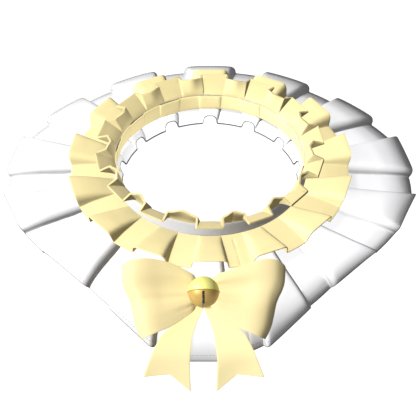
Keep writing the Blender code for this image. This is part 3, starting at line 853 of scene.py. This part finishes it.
def sewBand(name, height):
    # a row of stitches round the band, each one facing out from the neck's axis
    out = neckband["wall"] / 2 + stitchLift
    points = [bandPoint(turn, height, out) for turn in roundTurns(neckband["stitchSides"])]
    path = bpy.data.meshes.new(name)
    path.from_pydata(points, [(i, (i + 1) % len(points)) for i in range(len(points))], [])
    board, size, start = newTree(name + "Tree", stitchSizes)
    outward = board.add(
        "ShaderNodeVectorMath", {"operation": "MULTIPLY"},
        {0: board.add("GeometryNodeInputPosition"), 1: board.vector(1.0, 1.0, 0.0)},
    )
    tree = stitchAlong(board, start, size, finishes["shadedBandCotton"], outward)
    row = grow(name, tree, stitchSizes, path)
    shadeSmooth(row.data)
    keep(row, None)
    return row


def sewRing(name, sizes, hemTable, build):
    lifted = {**sizes, **stitchSizes, "outward": build["wall"] / 2 + stitchLift}
    row = grow(name, ringStitchTree(name + "Tree", lifted, hemTable, finishes[build["finish"]]), lifted)
    shadeSmooth(row.data)
    keep(row, None)
    return row


whiteHemStitches = sewRing("whiteHemStitches", whiteTier, whiteHem, whiteBuild)
creamHemStitches = sewRing("creamHemStitches", creamTier, creamHem, creamBuild)
bandStitches = [sewBand("bandStitches" + label, height) for label, height in neckband["stitches"]]
print("hem and band stitches made")


# Bow, in mm

bow = {
    "centre": (-5.9, -134.0, -28.6),
    "lean": 45.0,
    "wall": 0.8 * mm, "edge": 0.22 * mm,
}
# the right loop, from the knot out to the fold and back under itself
# top across, top up, bottom across, bottom up, off the slope, crease depth
loopStations = (
    (4.8, 10.2, 4.8, -10.2, 7.6, 0.2), (7.4, 12.8, 7.2, -14.2, 7.9, 0.4),
    (10.4, 15.2, 10.0, -18.2, 10.2, 1.5), (24.0, 20.2, 19.0, -24.8, 12.6, 2.5),
    (40.0, 25.6, 31.0, -32.4, 15.0, 2.8), (55.0, 30.2, 43.0, -37.4, 17.0, 1.9),
    (66.0, 29.6, 50.5, -41.0, 16.0, 0.9), (72.8, 25.8, 55.2, -42.8, 11.6, 0.2),
    (74.6, 22.6, 56.0, -42.8, 8.6, 0.0), (72.6, 21.4, 54.8, -41.8, 6.2, 0.0),
    (60.0, 23.0, 45.0, -37.2, 5.4, 0.0), (40.0, 19.6, 31.0, -31.0, 4.8, 0.0),
    (22.0, 14.8, 18.0, -22.4, 4.8, 0.0), (10.6, 10.2, 9.4, -11.4, 5.0, 0.0),
    (7.4, 8.8, 7.2, -9.0, 5.2, 0.0), (4.8, 8.0, 4.8, -8.0, 5.3, 0.0),
)
# share of the crease depth, place across the ribbon, its drift for each mm, width
loopCreases = ((-1.0, 0.62, 0.0, 0.15), (0.5, 0.22, 0.0, 0.18), (-0.45, 0.40, 0.1 / 75, 0.05))
loopBulge = ((0.0, 0.0), (0.14, 3.0), (0.38, 1.9), (0.52, 0.9), (0.72, 3.9), (0.85, 2.7), (1.0, 0.0))
loopShape = {
    "ends": (56.0, 74.6), "steps": 72, "rows": 34,
    "arch": {"right": 0.4, "left": 4.4}, "archEnd": 62.0,
    # gathers that fan out from the knot and die away: height, number, start
    "gathers": ((0.5, 3.6, 0.15), (0.25, 7.3, 0.4)),
    "gatherFrom": 5.5, "gatherOver": 10.0, "fadeFrom": 7.0, "fadeOver": 15.0,
    "frontOff": 9.0, "frontShare": 0.3, "backGather": 0.35,
}


def waves(table, place):
    return sum(height * math.sin(2 * math.pi * (count * place + start)) for height, count, start in table)


def fromTable(table, value, column=1):
    return float(np.interp(value, [row[0] for row in table], [row[column] for row in table]))


def softTable(table, value):
    # the same table with its corners rounded off
    return sum(fromTable(table, value + shift) for shift in (-0.07, -0.035, 0.0, 0.035, 0.07)) / 5


def onBow(across, up, off):
    # across, up and off the bow's leaning plane, in mm
    lean = math.radians(bow["lean"])
    rise = Vector((0, math.cos(lean), math.sin(lean)))
    out = Vector((0, -math.sin(lean), math.cos(lean)))
    place = Vector(bow["centre"]) + Vector((across, 0, 0)) + rise * up + out * off
    return place * mm


def smoothRows(table, steps):
    # a soft curve through the rows of a table, at even steps
    rows = np.array(table, dtype=float)
    gaps = np.linalg.norm(np.diff(rows[:, [0, 1, 4]], axis=0), axis=1)
    at = np.concatenate([[0.0], np.cumsum(gaps)])
    want = np.linspace(0.0, at[-1], steps)
    made = []
    for value in want:
        index = clamp(int(np.searchsorted(at, value, side="right")) - 1, 0, len(rows) - 2)
        before, after = max(index - 1, 0), min(index + 2, len(rows) - 1)
        span = at[index + 1] - at[index]
        share = (value - at[index]) / span
        startSlope = (rows[index + 1] - rows[before]) / (at[index + 1] - at[before]) * span
        endSlope = (rows[after] - rows[index]) / (at[after] - at[index]) * span
        a, b = share * share, share * share * share
        made.append(
            (2 * b - 3 * a + 1) * rows[index] + (b - 2 * a + share) * startSlope
            + (3 * a - 2 * b) * rows[index + 1] + (b - a) * endSlope
        )
    return made, want / at[-1]


def loopPoint(side, station, place, share):
    # a point of the right loop: place goes along the ribbon, share up across it
    topAcross, topUp, lowAcross, lowUp, off, crease = station
    shape = loopShape
    across = between(lowAcross, topAcross, share)
    level = off
    for depth, at, drift, width in loopCreases:
        level += depth * crease * math.exp(-((share - at - drift * across) / width) ** 2)
    near = math.exp(-max(across - shape["fadeFrom"], 0.0) / shape["fadeOver"])
    room = math.sin(math.pi * clamp((across - shape["gatherFrom"]) / shape["gatherOver"]) / 2)
    front = 1.0 if off > shape["frontOff"] or place < shape["frontShare"] else shape["backGather"]
    level += waves(shape["gathers"], share) * near * room * front
    arched = math.sin(math.pi * clamp(topAcross / shape["archEnd"])) ** 1.5
    up = between(lowUp, topUp, share) + shape["arch"][side] * share ** 2 * arched
    end = between(*shape["ends"], share)
    across += softTable(loopBulge, share) * (across / end) ** 2
    return across, up, level


def makeLoop(side, way):
    stations, along = smoothRows(loopStations, loopShape["steps"])
    shares = [index / (loopShape["rows"] - 1) for index in range(loopShape["rows"])]
    rows = []
    for station, place in zip(stations, along):
        points = [loopPoint(side, station, place, share) for share in shares]
        rows.append([onBow(way * across, up, level) for across, up, level in points])
    loop = fromRows("bowLoop" + side.capitalize(), rows, uvScale=(0.070, 0.160))
    thicken(loop, bow["wall"], bow["edge"])
    keep(loop, "bow_loop_" + side, finishes["creamRibbon"])


makeLoop("right", 1)
makeLoop("left", -1)
print("bow loops made")

knotShape = {
    "width": 12.6, "height": 24.2, "depth": 9.0, "back": 2.1,      # back is off the bow's plane
    "sides": 72, "steps": 26, "square": 0.75, "inset": 0.65, "swell": 0.25, "edge": 0.2 * mm,
    "folds": ((0.28, 3.2, 0.1), (0.16, 6.1, 0.0)),      # height, number, start
}


def makeKnot():
    # a ribbon sleeve drawn tight, with folds that run round it
    shape = knotShape
    rows = []
    for step in range(shape["steps"] + 1):
        place = step / shape["steps"]
        folds = waves(shape["folds"], place)
        swell = shape["swell"] * math.cos(math.pi * (place - 0.5))
        row = []
        for turn in roundTurns(shape["sides"]):
            proud = folds * (0.6 + 0.4 * math.cos(2 * turn + 4 * place)) + swell - shape["inset"]
            cos, sin = [
                abs(part) ** shape["square"] * math.copysign(1, part)
                for part in (math.cos(turn), math.sin(turn))
            ]
            up = cos * (shape["height"] / 2 + proud)
            off = sin * (shape["depth"] / 2 + proud)
            row.append(onBow((place - 0.5) * shape["width"], up, shape["back"] + shape["depth"] / 2 + off))
        rows.append(row)
    knot = fromRows("bowKnot", rows, closed=True, uvScale=(0.062, 0.013))
    thicken(knot, bow["wall"], shape["edge"])
    keep(knot, "bow_knot", finishes["creamRibbon"])


makeKnot()
print("bow knot made")

tails = {
    "gap": 0.45 * mm, "rows": 64, "across": 18, "wave": 0.25 * mm, "curl": 0.7 * mm, "lift": 0.2 * mm,
    "freeFrom": 30.0, "freeOver": 40.0,                     # where a tail comes free of the cloth below
    "ends": ((91.8, 11.7), (74.9, 31.1), (77.4, 55.8)),     # inner tip, notch, outer tip: down and across
}
# down the slope, inner edge across, outer edge across
tailStations = (
    (10.0, 0.5, 4.0), (15.0, 0.9, 8.6), (26.0, 5.9, 25.0), (37.8, 9.8, 38.2), (46.0, 11.0, 43.0),
    (54.0, 12.0, 47.1), (62.5, 12.6, 50.3),
)
# the front box's outer face: half its angle at the seam and at the hem, and how far out it lies
frontFace = {"half": (5.4, 7.2), "out": 0.7 * mm, "steps": 60}


def frontSlope():
    # the front box's outer face at its middle, from the seam to the hem, as (forward, up) pairs
    seam = Vector((whiteTier["neckRadius"], whiteTier["neckHeight"]))
    hem = Vector(whiteHem[0][1:]) * mm
    out, fall = hem - seam
    near = seam + Vector((whiteTier["neckReach"] * out, whiteTier["neckFall"] * fall + whiteTier["neckUp"]))
    rise = whiteTier["hemUp"] + whiteTier["hemUpFront"]
    far = hem + Vector((-whiteTier["hemReach"] * out, rise - whiteTier["hemFall"] * fall))
    points = []
    for index in range(frontFace["steps"] + 1):
        share = index / frontFace["steps"]
        place = curveAt(seam, near, far, hem, share)
        run = runAt(seam, near, far, hem, clamp(share, *runHeld)).normalized() * frontFace["out"]
        flat = math.cos(math.radians(between(*frontFace["half"], share)))
        points.append(Vector((0, -place.x * flat + run.y, place.y + run.x)))
    lengths = [0.0]
    for one, two in zip(points, points[1:]):
        lengths.append(lengths[-1] + (two - one).length)
    return points, lengths


slopePoints, slopeLengths = frontSlope()
slopeStart = float(np.interp(-bow["centre"][1] * mm, [-p.y for p in slopePoints], slopeLengths))


def onSlope(across, down, off):
    # over the front box, and straight on past its hem; everything in metres
    length = min(slopeStart + down, slopeLengths[-1] - mm)
    index = max(i for i, value in enumerate(slopeLengths) if value <= length)
    near = slopePoints[index]
    run = (slopePoints[index + 1] - near).normalized()
    point = near + run * (slopeStart + down - slopeLengths[index])
    out = Vector((0, run.z, -run.y))
    return Vector((bow["centre"][0] * mm + across, point.y, point.z)) + out * off


def tailEnd(share):
    # the swallow-tail end: straight from the inner tip to the notch and on to the outer tip
    tip, notch, outer = tails["ends"]
    first, second, part = (tip, notch, share * 2) if share < 0.5 else (notch, outer, share * 2 - 1)
    return between(first[0], second[0], part), between(first[1], second[1], part)


def tailPoint(way, share, place):
    # share goes from the inner edge to the outer, place from the knot to the end
    endDown, endAcross = tailEnd(share)
    lastDown, lastInner, lastOuter = tailStations[-1]
    down = between(tailStations[0][0], endDown, place)
    if down <= lastDown:
        across = between(fromTable(tailStations, down, 1), fromTable(tailStations, down, 2), share)
    else:
        start = between(lastInner, lastOuter, share)
        across = between(start, endAcross, (down - lastDown) / (endDown - lastDown))
    free = clamp((down - tails["freeFrom"]) / tails["freeOver"])
    wave = tails["wave"] * (1 + math.sin(0.11 * down + 4.2 * share + 0.6 * way)) * free
    curl = tails["curl"] * free ** 2 * (share - 0.5) ** 2 * 4
    off = tails["gap"] + bow["wall"] / 2 + tails["lift"] + wave + curl
    return onSlope(way * across * mm, down * mm, off)


def makeTail(side, way):
    # each line of points runs from the knot to the end
    shares = [column / tails["across"] for column in range(tails["across"] + 1)]
    places = [row / tails["rows"] for row in range(tails["rows"] + 1)]
    lines = [[tailPoint(way, share, place) for place in places] for share in shares]
    tail = fromRows("bowTail" + side.capitalize(), lines, uvScale=(0.085, 0.042))
    thicken(tail, bow["wall"], bow["edge"])
    keep(tail, "bow_tail_" + side, finishes["litTailRibbon"])


makeTail("right", 1)
makeTail("left", -1)
print("bow tails made")


# Bell

bell = {
    "radius": 14.4 * mm, "wall": 0.8 * mm, "rim": 0.6 * mm, "rimHeight": 0.8 * mm, "gap": 0.15 * mm,
    "slit": 2.2 * mm, "slitStart": 1.6 * mm, "edge": 0.16 * mm,
    "lean": 54.0, "off": 28.7, "drop": 0.4,      # degrees, and mm on the bow
    "sides": 96, "sharp": 35.0, "pellet": 4.0 * mm, "pelletGap": 0.3 * mm,
}


def arcPoints(across, up, radius, start, end, steps):
    turns = [between(start, end, index / steps) for index in range(steps + 1)]
    return [(across + radius * math.cos(turn), up + radius * math.sin(turn)) for turn in turns]


def halfProfile():
    # outer side from the pole to the rolled rim, then back inside
    outer, inner, low = bell["radius"], bell["radius"] - bell["wall"], bell["gap"]
    rim, lip = outer + bell["rim"], bell["rimHeight"] / 2
    pole = math.pi / 2
    points = arcPoints(0.0, 0.0, outer, pole, math.asin((low + lip) / outer), 26)
    points += arcPoints(rim - lip / 2, low + lip / 2, lip / 2, pole, -pole, 8)[1:-1]
    points += arcPoints(0.0, 0.0, inner, math.asin(low / inner), pole, 20)
    points[0] = (0.0, outer)
    points[-1] = (0.0, inner)
    return points


def turned(name, profile, sides):
    work = bmesh.new()
    rings = []
    for radius, height in profile:
        places = roundTurns(sides) if radius > 1e-7 else [0.0]
        rings.append([
            work.verts.new((radius * math.cos(turn), radius * math.sin(turn), height)) for turn in places
        ])
    for near, far in zip(rings, rings[1:]):
        for index in range(sides):
            after = index + 1
            corners = [near[index % len(near)], near[after % len(near)]]
            corners += [far[after % len(far)], far[index % len(far)]]
            unique = list(dict.fromkeys(corners))
            if len(unique) > 2:
                work.faces.new(unique)
    bmesh.ops.recalc_face_normals(work, faces=work.faces)
    return meshFrom(work, name)


def endBell(thing, mesh, place, node, finish):
    # put in place, with 1 on its inner side, which the finish paints near-black as painted shade
    mesh.transform(place)
    reach = bell["radius"] - bell["wall"] / 2
    marks = [1.0 if (vert.co - place.translation).length < reach else 0.0 for vert in mesh.vertices]
    mesh.attributes.new("hollow", "FLOAT", "POINT").data.foreach_set("value", marks)
    thing.data = mesh
    shadeSmooth(mesh, bell["sharp"])
    keep(thing, node, finishes[finish])


def makeCap(place):
    mesh = turned("bellCap", halfProfile(), bell["sides"])
    endBell(addThing("bellCap", mesh), mesh, place, "bell_cap", "paleBrass")


def makeSlit(turn):
    # the cutter for one of the crossed slits
    work = bmesh.new()
    bmesh.ops.create_cube(work, size=1.0)
    depth = bell["radius"] * 1.2
    bmesh.ops.scale(work, vec=(bell["slit"], bell["radius"] * 2.6, depth), verts=work.verts)
    bmesh.ops.translate(work, vec=(0, 0, -bell["slitStart"] - depth / 2), verts=work.verts)
    bmesh.ops.rotate(work, matrix=Matrix.Rotation(math.radians(turn), 3, "Z"), verts=work.verts)
    return addThing("slit", meshFrom(work, "slit"))


def makeCup(place):
    mesh = turned("bellCup", halfProfile(), bell["sides"])
    mesh.transform(Matrix.Rotation(math.pi, 4, "X"))
    cup = addThing("bellCup", mesh)
    cutters = [makeSlit(turn) for turn in (0.0, 90.0)]
    for cutter in cutters:
        cut = cup.modifiers.new("slit", "BOOLEAN")
        cut.operation = "DIFFERENCE"
        cut.solver = "EXACT"
        cut.object = cutter
    roundEdges(cup, bell["edge"])
    mesh = evaluated(cup)
    cup.modifiers.clear()
    for cutter in cutters:
        bpy.data.objects.remove(cutter, do_unlink=True)
    endBell(cup, mesh, place, "bell_cup", "goldBrass")


def makePellet(place):
    work = bmesh.new()
    bmesh.ops.create_icosphere(work, subdivisions=4, radius=bell["pellet"])
    fall = bell["radius"] - bell["wall"] - bell["pellet"] - bell["pelletGap"]
    bmesh.ops.translate(work, vec=place.translation - Vector((0, 0, fall)), verts=work.verts)
    pellet = addThing("bellPellet", meshFrom(work, "bellPellet"))
    shadeSmooth(pellet.data)
    keep(pellet, "bell_pellet", finishes["shadedPelletSteel"])


def makeBell():
    lean = Matrix.Rotation(math.radians(-bell["lean"]), 4, "X")
    place = Matrix.Translation(onBow(0, -bell["drop"], bell["off"])) @ lean
    makeCap(place)
    makeCup(place)
    makePellet(place)


def tube(name, points, radius, rings, closed=False):
    # a round wire or thread through the points
    curve = bpy.data.curves.new(name, "CURVE")
    curve.dimensions = "3D"
    curve.bevel_depth = radius
    curve.bevel_resolution = rings
    curve.use_fill_caps = True
    line = curve.splines.new("POLY")
    line.points.add(len(points) - 1)
    for spot, point in zip(line.points, points):
        spot.co = (*point, 1)
    line.use_cyclic_u = closed
    holder = addThing(name, curve)
    mesh = evaluated(holder)
    bpy.data.objects.remove(holder, do_unlink=True)
    tidyMesh(mesh, 0.005 * mm)
    shadeSmooth(mesh, 50.0)
    return addThing(name, mesh)


# in mm on the bow
shank = {
    "wire": 0.6 * mm, "half": 2.2, "up": 0.6, "low": 12.0, "high": 14.0, "steps": 24,
    "thread": 0.22 * mm, "threadAcross": (-0.5, 0.45), "threadSteps": 28,
    "threadOff": 12.1, "threadSize": (0.2, 1.15, 1.35),      # half its size across, up and off
}


def makeShank():
    points = []
    for index in range(shank["steps"] + 1):
        turn = math.pi * index / shank["steps"]
        off = between(shank["high"], shank["low"], math.sin(turn))
        points.append(onBow(shank["half"] * math.cos(turn), shank["up"], off))
    wire = tube("bellShank", points, shank["wire"], 4)
    keep(wire, "bell_shank", finishes["goldBrass"])
    # thread from the knot through the wire loop, twice
    wide, tall, deep = shank["threadSize"]
    for number, across in enumerate(shank["threadAcross"]):
        ring = []
        for turn in roundTurns(shank["threadSteps"]):
            up = shank["up"] + tall * math.sin(turn)
            off = shank["threadOff"] + deep * math.cos(turn)
            ring.append(onBow(across + wide * math.sin(turn), up, off))
        thread = tube("bellThread" + str(number + 1), ring, shank["thread"], 2, closed=True)
        keep(thread, None, finishes["creamRibbon"])


makeBell()
makeShank()
print("bell made")
limitLight()
print("light limited")
